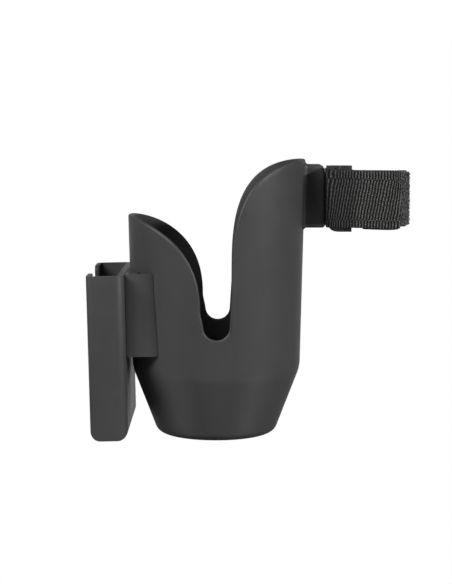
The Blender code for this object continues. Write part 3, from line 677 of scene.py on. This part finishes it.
def make_pocket():
    """The pocket, built upright in its own frame and then leant back."""
    depth, half = POCKET_DEPTH, POCKET_HALF_WIDTH
    bottom, top = POCKET_Z
    corners = ((-depth, -half), (0.0, -half), (0.0, half), (-depth, half))
    radii = (POCKET_FRONT_EDGE, POCKET_BACK_EDGE, POCKET_BACK_EDGE, POCKET_FRONT_EDGE)
    plan = []
    for i, radius in enumerate(radii):
        plan += rounded(corners[i - 1], corners[i], corners[(i + 1) % 4], radius, 12)
    pocket = outline_solid("phone_pocket_shell", plan, bottom - 2, top, "XY", CHARCOAL)
    outline = [(-depth, top + 4), *rounded((-depth, top), (-depth, bottom), (0, bottom), POCKET_CORNER, 12)]
    outline += [*rounded((-depth, bottom), (0, bottom), (0, top), POCKET_CORNER, 12), (0, top + 4)]
    side = outline_solid("keep_side", outline, -half - 4, half + 4, "XZ")
    combine(pocket, [side], "INTERSECT")
    join_faces(pocket)
    bevel(pocket, 0.7, 3, 50)
    hollow = block(
        "cut_hollow",
        (-depth + POCKET_WALL, -half + POCKET_WALL, bottom + POCKET_FLOOR),
        (-POCKET_BACK, half - POCKET_WALL, top + 8),
    )
    bevel(hollow, 1.5, 4)
    w, sill = WINDOW_HALF_WIDTH, WINDOW_SILL_Z
    right = rounded((-w, sill), (w, sill), (w, top), WINDOW_CORNER, 10)
    for i in range(9):
        turn = math.pi / 2 * i / 8
        right.append((w + LIP_CORNER * (1 - math.cos(turn)), top - LIP_CORNER * (1 - math.sin(turn))))
    right.append((w + LIP_CORNER, top + 6))
    left = [(-y, z) for y, z in reversed(right)]
    window = outline_solid("cut_window", right + left, -depth - 4, -depth + 3.5, "YZ")
    combine(pocket, [hollow, window])
    join_faces(pocket)
    bevel(pocket, 0.55, 3, 50)
    hooks = []
    for side in (-1, 1):
        for x0, x1, y0, y1 in (HOOK_WEB, HOOK_FOOT):
            low_y, high_y = sorted((side * y0, side * y1))
            hooks.append(block("join_hook", (x0, low_y, HOOK_Z[0]), (x1, high_y, HOOK_Z[1])))
    combine(pocket, hooks, "UNION")
    pocket.matrix_world = leaning()
    give(pocket, CHARCOAL)
    return smooth_by_angle(pocket, 35)


def from_cad(name, node, material, width):
    """A CAD node's own shape, with its sharp edges eased."""
    mesh = NODES[node].data.copy()
    mesh.name = name
    obj = bpy.data.objects.new(name, mesh)
    bpy.context.scene.collection.objects.link(obj)
    join_faces(obj)
    bevel(obj, width, 3, 30.0)
    give(obj, material)
    smooth_by_angle(obj, 35)
    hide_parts(node)
    return obj


# ---------------------------------------------------------------- strap


def run_y(x):
    """How far from the XZ plane the loop's two runs are, from the ears to where the loop turns."""
    share = np.clip((np.asarray(x, float) - EAR_X[1]) / (LOOP_CENTRE_X - EAR_X[1]), 0, 1)
    return INNER_RUN_Y + (LOOP_HALF_DEPTH - INNER_RUN_Y) * share * share * (3 - 2 * share)


def loop_points(offset, start_x, end_x):
    """(x, y) on the loop: along the rear run, round the far end, and back along the front run."""
    reach, depth = LOOP_REACH + offset, LOOP_HALF_DEPTH + offset
    points = [(x, run_y(x) + offset) for x in np.linspace(start_x, LOOP_CENTRE_X, 8)]
    for turn in np.linspace(math.pi / 2, -math.pi / 2, 40)[1:-1]:
        points.append((LOOP_CENTRE_X + reach * math.cos(turn), depth * math.sin(turn)))
    return points + [(x, -run_y(x) - offset) for x in np.linspace(LOOP_CENTRE_X, end_x, 8)]


def ear_wrap(side):
    """The webbing's turn round an ear."""
    radius = (OUTER_RUN_Y - INNER_RUN_Y) / 2
    centre = (EAR_X[0] + 0.95, (OUTER_RUN_Y + INNER_RUN_Y) / 2)
    turns = np.linspace(math.pi / 2, 3 * math.pi / 2, 15)
    return [(centre[0] + radius * math.cos(a), side * (centre[1] - radius * math.sin(a))) for a in turns]


def tail_points(start_x, end_x, offset, first_y=OUTER_RUN_Y):
    """The tail's run over the loop, from where it peels, at first_y, to its end."""
    reach, depth = LOOP_REACH + offset, LOOP_HALF_DEPTH + offset
    points = []
    for x in np.linspace(start_x, LOOP_CENTRE_X, 8):
        points.append((x, -(first_y + (depth - first_y) * (x - PEEL_X) / (LOOP_CENTRE_X - PEEL_X))))
    end = math.acos((end_x - LOOP_CENTRE_X) / reach)
    for turn in np.linspace(math.pi / 2, end, 10)[1:]:
        points.append((LOOP_CENTRE_X + reach * math.cos(turn), -depth * math.sin(turn)))
    return points


def eased(points, rounds, count):
    """The path with its corners eased, as points an equal distance apart."""
    path = resample(points, count)
    for _ in range(rounds):
        path[1:-1] = (path[:-2] + 2 * path[1:-1] + path[2:]) / 4
    return path


def sag(x, y):
    """How far the strap hangs below its middle height: the loop's rear run most, the tail's end a little."""
    rear = 0.9 * smoothstep(y, -15, 14) * smoothstep(x, 71, 78)
    front = 0.8 * smoothstep(x, 70, 96) * smoothstep(-y, 10, 16)
    return -rear - front


def lengths_along(path):
    """How far along the path each of its points is."""
    return np.concatenate([[0], np.cumsum(np.linalg.norm(np.diff(path, axis=0), axis=1))])


def directions(path):
    """Unit tangents and normals of a path in plan."""
    tangent = np.gradient(path, axis=0)
    tangent /= np.linalg.norm(tangent, axis=1)[:, None]
    return tangent, np.stack([-tangent[:, 1], tangent[:, 0]], axis=1)


def band(name, path, thickness, half_width, texture, grid, material, drop=0.0):
    """A closed band on edge along a path in plan, with grid points across and along it.

    texture(s, v, x, side) gives how far each point stands proud of the face, and a tone from 0 in the
    hollows to 1 on the crests."""
    across, along = grid
    path = resample(path, along)
    _, normal = directions(path)
    s = lengths_along(path)
    v = np.linspace(-half_width, half_width, across)
    s_grid, v_grid = np.meshgrid(s, v, indexing="ij")
    x_grid = path[:, 0][:, None] + 0 * v_grid
    # The two edges are rounded.
    edge = np.clip((half_width - np.abs(v_grid)) / (thickness * 0.55), 0, 1)
    body = np.sqrt(np.clip(1 - (1 - edge) ** 2, 0.02, 1))
    sides, tones = [], []
    for side in (1, -1):
        proud, tone = texture(s_grid, v_grid, x_grid, side)
        offset = side * (thickness / 2 + proud) * body
        place = path[:, None, :] + normal[:, None, :] * offset[..., None]
        z = STRAP_MID_Z - drop + v_grid + sag(path[:, 0], path[:, 1])[:, None]
        sides.append(np.concatenate([place, z[..., None]], axis=-1))
        tones.append(tone)
    section = np.concatenate([sides[0], sides[1][:, ::-1]], axis=1)
    tone = np.concatenate([tones[0], tones[1][:, ::-1]], axis=1)
    count = section.shape[1]
    quads = quads_of(along, count)
    first = np.arange(count)[::-1][None]
    last = (along - 1) * count + np.arange(count)[None]
    obj = new_mesh(name, section.reshape(-1, 3), [quads, first, last], material)
    layer = obj.data.attributes.new("crest", "FLOAT", "POINT")
    layer.data.foreach_set("value", tone.reshape(-1).astype(np.float32))
    return obj


def ribbed(slant, depth, pulled=False):
    """Webbing weave: cords across the width, faintly beaded by the warp.

    They lean in the middle, and in both selvedges they stand straight and half a cord over. Pulled webbing
    is tighter where it goes over the ear, and there its weave is painted darker as shade."""

    def texture(s, v, x, side):
        beyond = np.abs(v) - SELVEDGE_V
        lean = slant(x) * np.clip(v, -SELVEDGE_V, SELVEDGE_V) + 0.03 * np.sign(v) * np.maximum(beyond, 0)
        selvedge = smoothstep(beyond, -0.25, 0.25)
        wander = 0.10 * np.sin(v * 0.83 + s * 0.21) + 0.06 * np.sin(v * 2.3 - s * 0.35)
        tight = np.minimum(x - 74, 0) if pulled else 0 * x
        turn = (s - lean + 0.08 * tight) / RIB_PITCH + 0.5 * selvedge + wander * 0.5
        number = np.floor(turn)
        within = turn - number
        wave = np.sin(math.pi * within)
        cord = np.clip((wave - 0.22) / 0.78, 0, 1)
        warp = v / BEAD_PITCH + 0.5 * (number % 2)
        bead = 0.5 + 0.5 * np.cos(2 * math.pi * warp + 1.6 * (within - 0.5))
        loose = 0.5 + 0.5 * np.sin(2 * math.pi * v / LOOSE_PITCH + 0.9 * np.sin(number * 1.9))
        uneven = 0.10 * np.sin(v * 1.7 + number * 2.1) + 0.08 * np.sin(number * 5.3)
        seam = 1 - 0.25 * np.exp(-((beyond / 0.3) ** 2))
        height = cord**0.8 * (0.78 + 0.22 * bead) * (1 + uneven) * seam
        # Painted shade and highlight: the tone is dark in the hollows between cords and at the seams and pale
        # on the beaded crests, with some uneven tone of the yarn itself.
        tone = np.clip(cord**3.2 * (0.45 + 0.45 * bead + 0.20 * loose) * (1 + uneven) * seam, 0, 1)
        # Painted shade: the front run is darker from the ear up to x 71-78, where it turns away from the
        # right key light.
        if pulled:
            tone = tone * (0.72 + 0.28 * smoothstep(x, 71, 78))
        return depth * (height - 0.5), tone

    return texture


def upright(x):
    return 0.0 * x


def front_slant(x):
    """How much the front run's cords lean, from the ear to the tail's end."""
    return 0.19 * smoothstep(x, 58, 66) * (1 - 0.5 * smoothstep(x, 95, 100))


def make_webbing():
    """The loop with its sewn rear end, and the front run, whose tail bends as it peels."""
    sewn_offset = WEBBING + LAYER_GAP
    sewn = [
        (SEWN_END_X, run_y(SEWN_END_X) + sewn_offset),
        (TAPE_START_X, run_y(TAPE_START_X) + sewn_offset + 0.5),
        (EAR_X[1] + 0.8, OUTER_RUN_Y),
    ]
    rear = sewn + ear_wrap(1)[::-1] + [(68.0, INNER_RUN_Y)]
    main = rear + loop_points(0.0, EAR_X[1], EAR_X[1]) + [(67.1, -INNER_RUN_Y)]
    path = eased(main, 3, 500)
    weave = ribbed(upright, depth=0.3)
    loop = band("strap_loop", path, WEBBING - 0.3, STRAP_HALF_WIDTH, weave, (100, 620), WEBBING_YARN)
    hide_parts("strap_webbing")
    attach(loop, "strap_mount")
    tail_offset = WEBBING + 2 * TAPE + 3 * LAYER_GAP
    front = [(66.9, -INNER_RUN_Y), *ear_wrap(-1), (66.0, -OUTER_RUN_Y), (71.0, -OUTER_RUN_Y - 0.35)]
    front += tail_points(PEEL_X, TAIL_END_X, tail_offset, OUTER_RUN_Y + 0.6)
    path = eased(front, 3, 500)
    weave = ribbed(front_slant, depth=0.5, pulled=True)
    thickness = WEBBING - 0.35
    tail = band("strap_front_and_tail", path, thickness, STRAP_HALF_WIDTH, weave, (132, 360), WEBBING_YARN)
    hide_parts("strap_tail")
    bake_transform(tail)


def fuzzy(seed, height):
    """Brushed loops: soft clumps of random height."""
    rng = np.random.default_rng(seed)

    def texture(s, v, x, side):
        rough = rng.random(s.shape)
        soft = rough
        for _ in range(2):
            lengthways = np.roll(soft, 1, 0) + np.roll(soft, -1, 0)
            soft = (soft + lengthways + np.roll(soft, 1, 1) + np.roll(soft, -1, 1)) / 5
        spread = (soft - soft.min()) / (soft.max() - soft.min())
        tone = 0.55 * spread + 0.45 * rough
        return (height * tone, tone) if side > 0 else (0 * s, 0.3 * tone)

    return texture


def hooked(s, v, x, side):
    """Rows of tiny hooks on the face that grips."""
    rows = np.abs(np.sin(math.pi * s / 0.9)) * np.abs(np.sin(math.pi * v / 0.9))
    return (0.22 * rows - 0.05, rows) if side < 0 else (0 * s, 0 * s)


def add_tube(parts, centres, frames, thick, sides):
    """Adds a bent tube to parts, which are lists of points, grids of quads and end faces."""
    points, quads, ends = parts
    start = len(points)
    for centre, (across, out) in zip(centres, frames):
        for m in range(sides):
            turn = 2 * math.pi * m / sides
            points.append(centre + thick * (math.cos(turn) * across + math.sin(turn) * out))
    quads.append(quads_of(len(centres), sides) + start)
    ends.append(start + np.arange(sides)[::-1])
    ends.append(start + (len(centres) - 1) * sides + np.arange(sides))


def mesh_of_tubes(name, parts, material):
    points, quads, ends = parts
    return new_mesh(name, np.array(points), [np.concatenate(quads), np.array(ends)], material)


def tufts(name, path, half_width, count, seed, material, thickness=(0.07, 0.12), crowd=1.0):
    """Loops of loose yarn that stand on the pile, each a bent tube whose two feet are in the tape.
    A crowd under 1 puts more of them near the path's end."""
    rng = np.random.default_rng(seed)
    tangent, normal = directions(path)
    parts = [], [], []
    turns = [math.pi * k / 6 for k in range(7)]
    for _ in range(count):
        i = 2 + int((len(path) - 5) * rng.random() ** crowd)
        foot = np.array([*path[i], STRAP_MID_Z + rng.uniform(-half_width + 0.6, half_width - 0.6)])
        foot[2] += sag(path[i, 0], path[i, 1])
        out = np.array([*normal[i], 0.0])
        heading = rng.uniform(0, 2 * math.pi)
        along = math.cos(heading) * np.array([*tangent[i], 0.0]) + math.sin(heading) * np.array([0, 0, 1.0])
        lean = 0.35 * np.cross(out, along) * rng.uniform(-1, 1)
        reach, rise, thick = rng.uniform(0.3, 0.75), rng.uniform(0.55, 1.1), rng.uniform(*thickness)
        centres, frames = [], []
        for turn in turns:
            height = rise * math.sin(turn) - 0.15
            centres.append(foot - along * reach * math.cos(turn) + (out + lean) * height)
            ahead = along * math.sin(turn) + out * math.cos(turn)
            side = np.cross(ahead, np.cross(out, along))
            side /= np.linalg.norm(side)
            other = np.cross(ahead, side)
            frames.append((side, other / np.linalg.norm(other)))
        add_tube(parts, centres, frames, thick, 5)
    return mesh_of_tubes(name, parts, material)


def at_length(where, s, rows):
    """The row found a length along a line whose rows are at the lengths s."""
    return np.array([np.interp(where, s, rows[:, k]) for k in range(rows.shape[1])])


def stitches(name, lines):
    """Sewn stitches along each line, given as (points, unit normals), with both ends of each in the cloth."""
    parts = [], [], []
    thick = 0.17
    for line, normals in lines:
        s = lengths_along(line)
        number = max(1, int(s[-1] / STITCH))
        length = s[-1] / number
        for k in range(number):
            begin, end = k * length + 0.08 * length, (k + 1) * length - 0.08 * length
            a, b = at_length(begin, s, line), at_length(end, s, line)
            ahead = (b - a) / np.linalg.norm(b - a)
            centres, frames = [], []
            for share in np.linspace(0, 1, 6):
                at = begin + share * (end - begin)
                out = at_length(at, s, normals)
                out -= ahead * (out @ ahead)
                out /= np.linalg.norm(out)
                rise = thick * (1.7 * math.sin(math.pi * share) - 0.9)
                centres.append(at_length(at, s, line) + out * rise)
                frames.append((np.cross(ahead, out), out))
            add_tube(parts, centres, frames, thick, 6)
    return mesh_of_tubes(name, parts, THREAD)


def sewn_row(path, v, offset):
    """A line along a band's path at height v on the face offset from its middle, for stitches."""
    path = resample(path, 200)
    normal = directions(path)[1] * np.sign(offset)
    place = path + normal * abs(offset)
    z = STRAP_MID_Z + v + sag(path[:, 0], path[:, 1])
    return np.column_stack([place, z]), np.column_stack([normal, 0 * z])


def sewn_column(path, share, half_height, offset):
    """The same across the band, at a share of the way along its path."""
    row, normal = sewn_row(path, 0.0, offset)
    at, count = int(share * (len(row) - 1)), 60
    line = np.repeat(row[at][None], count, axis=0)
    line[:, 2] += np.linspace(-half_height, half_height, count)
    return line, np.repeat(normal[at][None], count, axis=0)


def make_tapes():
    """The pile on the loop, with the loose loops of its worn end, and the hooks on the tail's inner face."""
    half = STRAP_HALF_WIDTH - TAPE_INSET
    offset = WEBBING / 2 + LAYER_GAP + TAPE / 2
    path = eased(loop_points(offset, SEWN_END_X + 1.5, TAPE_START_X), 3, 400)
    pile = band("pile_tape_look", path, TAPE, half, fuzzy(7, 0.42), (110, 300), PILE)
    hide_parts("pile_tape")
    face = resample(loop_points(offset + TAPE / 2, 86.0, 92.0), 300)
    loops = tufts("pile_loops", face, half, 1200, 11, DIM_LOOP_YARN)
    worn = face[(face[:, 0] > 97.5) & (face[:, 1] < -6.0)]
    pulled = tufts("pulled_loops", worn, half, 300, 12, LOOP_YARN, (0.12, 0.2), crowd=0.45)
    for obj in (pile, loops, pulled):
        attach(obj, "strap_mount")
    offset += TAPE + LAYER_GAP
    first_y = OUTER_RUN_Y - WEBBING / 2 - LAYER_GAP - TAPE / 2
    path = eased(tail_points(TAPE_START_X, TAIL_END_X - 1.0, offset, first_y), 2, 200)
    hooks = band("hook_tape_look", path, TAPE, half, hooked, (90, 130), HOOK_YARN, HOOK_TAPE_DROP)
    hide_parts("hook_tape")
    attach(hooks, "tail")
    make_stitching()


def make_stitching():
    """Thread that sews the tapes to the webbing, and the box that closes the strap's rear end."""
    face = WEBBING / 2 + 0.02
    tail = tail_points(TAPE_START_X, TAIL_END_X - 0.8, WEBBING + 2 * TAPE + 3 * LAYER_GAP)
    lines = [sewn_row(tail, v, -face) for v in (-TAPE_SEAM_V, TAPE_SEAM_V)]
    lines.append(sewn_column(tail, 0.98, 12.5, -face))
    tail_thread = stitches("tail_stitching", lines)
    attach(tail_thread, "tail")
    rear = [(x, run_y(x) + WEBBING + LAYER_GAP) for x in np.linspace(SEWN_END_X - 0.6, 80.0, 30)]
    lines = [sewn_row(rear, v, -face) for v in (-SEWN_BOX_V, SEWN_BOX_V)]
    lines += [sewn_column(rear, share, SEWN_BOX_V, -face) for share in (0.02, 0.98)]
    box = stitches("sewn_end_stitching", lines)
    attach(box, "strap_mount")


# ---------------------------------------------------------------- build


def main():
    cup = make_cup()
    screw_places = [(y, z) for z in SCREW_Z for y in SCREW_Y]
    combine(cup, [well(y, z) for y, z in screw_places])
    smooth_by_angle(cup, 40)
    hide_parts("cup_body")
    neck = smooth_by_angle(make_neck(), 35)
    for obj in (cup, neck):
        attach(obj, "cup")
    for number, (y, z) in enumerate(screw_places, 1):
        screw = make_screw(f"screw_{number}", y, z)
        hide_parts(f"bracket_screw_{number}")
        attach(screw, "cup")
    bracket = from_cad("pocket_bracket", "phone_rail_bracket", CHARCOAL, 0.5)
    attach(bracket, "cup")
    pocket = make_pocket()
    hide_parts("phone_pocket")
    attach(pocket, "pocket")
    saddle = from_cad("strap_saddle", "strap_bracket", BLACK_PLASTIC, 0.35)
    pad = from_cad("saddle_lining", "saddle_pad", RUBBER, 0.3)
    for obj in (saddle, pad):
        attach(obj, "strap_mount")
    make_webbing()
    make_tapes()


# ---------------------------------------------------------------- studio


def softbox(name, azimuth, elevation, distance, size, power, height=None):
    """A soft light that faces the object. Azimuth is in degrees from the camera's side, to its right."""
    light = bpy.data.lights.new(name, "AREA")
    light.shape = "RECTANGLE"
    light.size = size
    light.size_y = height or size
    light.energy = power
    obj = bpy.data.objects.new(name, light)
    bpy.context.scene.collection.objects.link(obj)
    a, e = math.radians(azimuth), math.radians(elevation)
    away = Vector((math.sin(a) * math.cos(e), -math.cos(a) * math.cos(e), math.sin(e)))
    obj.location = Vector(LIGHT_TARGET) + distance * away
    obj.rotation_euler = (-away).to_track_quat("-Z", "Y").to_euler()
    obj.visible_camera = False


def make_world():
    """Two soft glows behind the object: a weak bounce from the lower rear, and a bright sweep."""
    world = bpy.data.worlds.new("studio")
    bpy.context.scene.world = world
    world.use_nodes = True
    tree = world.node_tree
    background = tree.nodes["Background"]
    coordinates = tree.nodes.new("ShaderNodeTexCoord")
    split = tree.nodes.new("ShaderNodeSeparateXYZ")
    tree.links.new(coordinates.outputs["Generated"], split.inputs[0])
    upward = tree.nodes.new("ShaderNodeMapRange")
    upward.inputs["From Min"].default_value = -1.0
    tree.links.new(split.outputs["Z"], upward.inputs["Value"])
    total = None
    for starts, full, strength, stops in (
        (-0.1, 0.2, 1.0, ((0.0, 0.0), (0.46, 0.2), (0.56, 0.0))),
        (0.80, 0.97, 0.9, ((0.28, 0.0), (0.38, 1.0), (0.62, 1.0), (0.72, 0.0))),
    ):
        height = tree.nodes.new("ShaderNodeValToRGB")
        while len(height.color_ramp.elements) < len(stops):
            height.color_ramp.elements.new(0.5)
        for element, (position, level) in zip(height.color_ramp.elements, stops):
            element.position, element.color = position, (*grey(level), 1)
        rear = tree.nodes.new("ShaderNodeMapRange")
        for name, value in (("From Min", starts), ("From Max", full), ("To Max", strength)):
            rear.inputs[name].default_value = value
        glow = tree.nodes.new("ShaderNodeMath")
        glow.operation = "MULTIPLY_ADD"
        glow.inputs[2].default_value = AMBIENT
        tree.links.new(split.outputs["Y"], rear.inputs["Value"])
        tree.links.new(upward.outputs["Result"], height.inputs["Fac"])
        tree.links.new(height.outputs["Color"], glow.inputs[0])
        tree.links.new(rear.outputs["Result"], glow.inputs[1])
        if total:
            tree.links.new(total, glow.inputs[2])
        total = glow.outputs[0]
    tree.links.new(total, background.inputs["Strength"])
    background.inputs["Color"].default_value = (1, 1, 1, 1)


def make_lights():
    softbox("left_high", -62, 35, 1.3, 0.42, 9.5)
    softbox("left_near", -42, 40, 0.55, 0.24, 1.2)
    softbox("left_low", -60, -36, 0.9, 0.36, 1.1)
    softbox("right_key", 60, 24, 0.9, 0.30, 6.5, height=0.07)
    softbox("right_low", 60, -36, 0.9, 0.36, 1.35)
    softbox("front_low", 0, -36, 0.55, 0.24, 0.40)


def staged(name, build, material, **settings):
    """A plain piece of the studio, which only the camera sees."""
    mesh = bpy.data.meshes.new(name)
    shape = bmesh.new()
    build(shape, **settings)
    shape.to_mesh(mesh)
    shape.free()
    mesh.materials.append(material)
    obj = bpy.data.objects.new(name, mesh)
    bpy.context.scene.collection.objects.link(obj)
    for kind in ("diffuse", "glossy", "transmission", "volume_scatter", "shadow"):
        setattr(obj, "visible_" + kind, False)
    return obj


def make_surroundings():
    white = bpy.data.materials.new("backdrop_white")
    white.use_nodes = True
    white.node_tree.nodes.clear()
    glow = white.node_tree.nodes.new("ShaderNodeEmission")
    glow.inputs["Strength"].default_value = 1.0
    output = white.node_tree.nodes.new("ShaderNodeOutputMaterial")
    white.node_tree.links.new(glow.outputs[0], output.inputs[0])
    backdrop = staged("backdrop", bmesh.ops.create_icosphere, white, subdivisions=4, radius=6.0)
    floor = staged("floor", bmesh.ops.create_circle, white, cap_ends=True, segments=96, radius=4.0)
    floor.location = (0, 0, -FLOOR_DEPTH)


def make_camera():
    camera = bpy.data.cameras.new("camera")
    camera.sensor_fit = "VERTICAL"
    camera.sensor_height = SENSOR_HEIGHT
    camera.lens = CAMERA_LENS
    camera.clip_start, camera.clip_end = 0.05, 30.0
    place = bpy.data.objects.new("camera", camera)
    bpy.context.scene.collection.objects.link(place)
    place.location = CAMERA_PLACE
    place.rotation_euler = (math.pi / 2 + CAMERA_PITCH, 0.0, CAMERA_TURN)
    bpy.context.scene.camera = place


def make_studio():
    view = bpy.context.scene.view_settings
    view.view_transform = "Standard"
    view.look = "None"
    view.exposure = 0.0
    view.gamma = 1.0
    make_world()
    make_lights()
    make_surroundings()
    make_camera()


main()
make_studio()
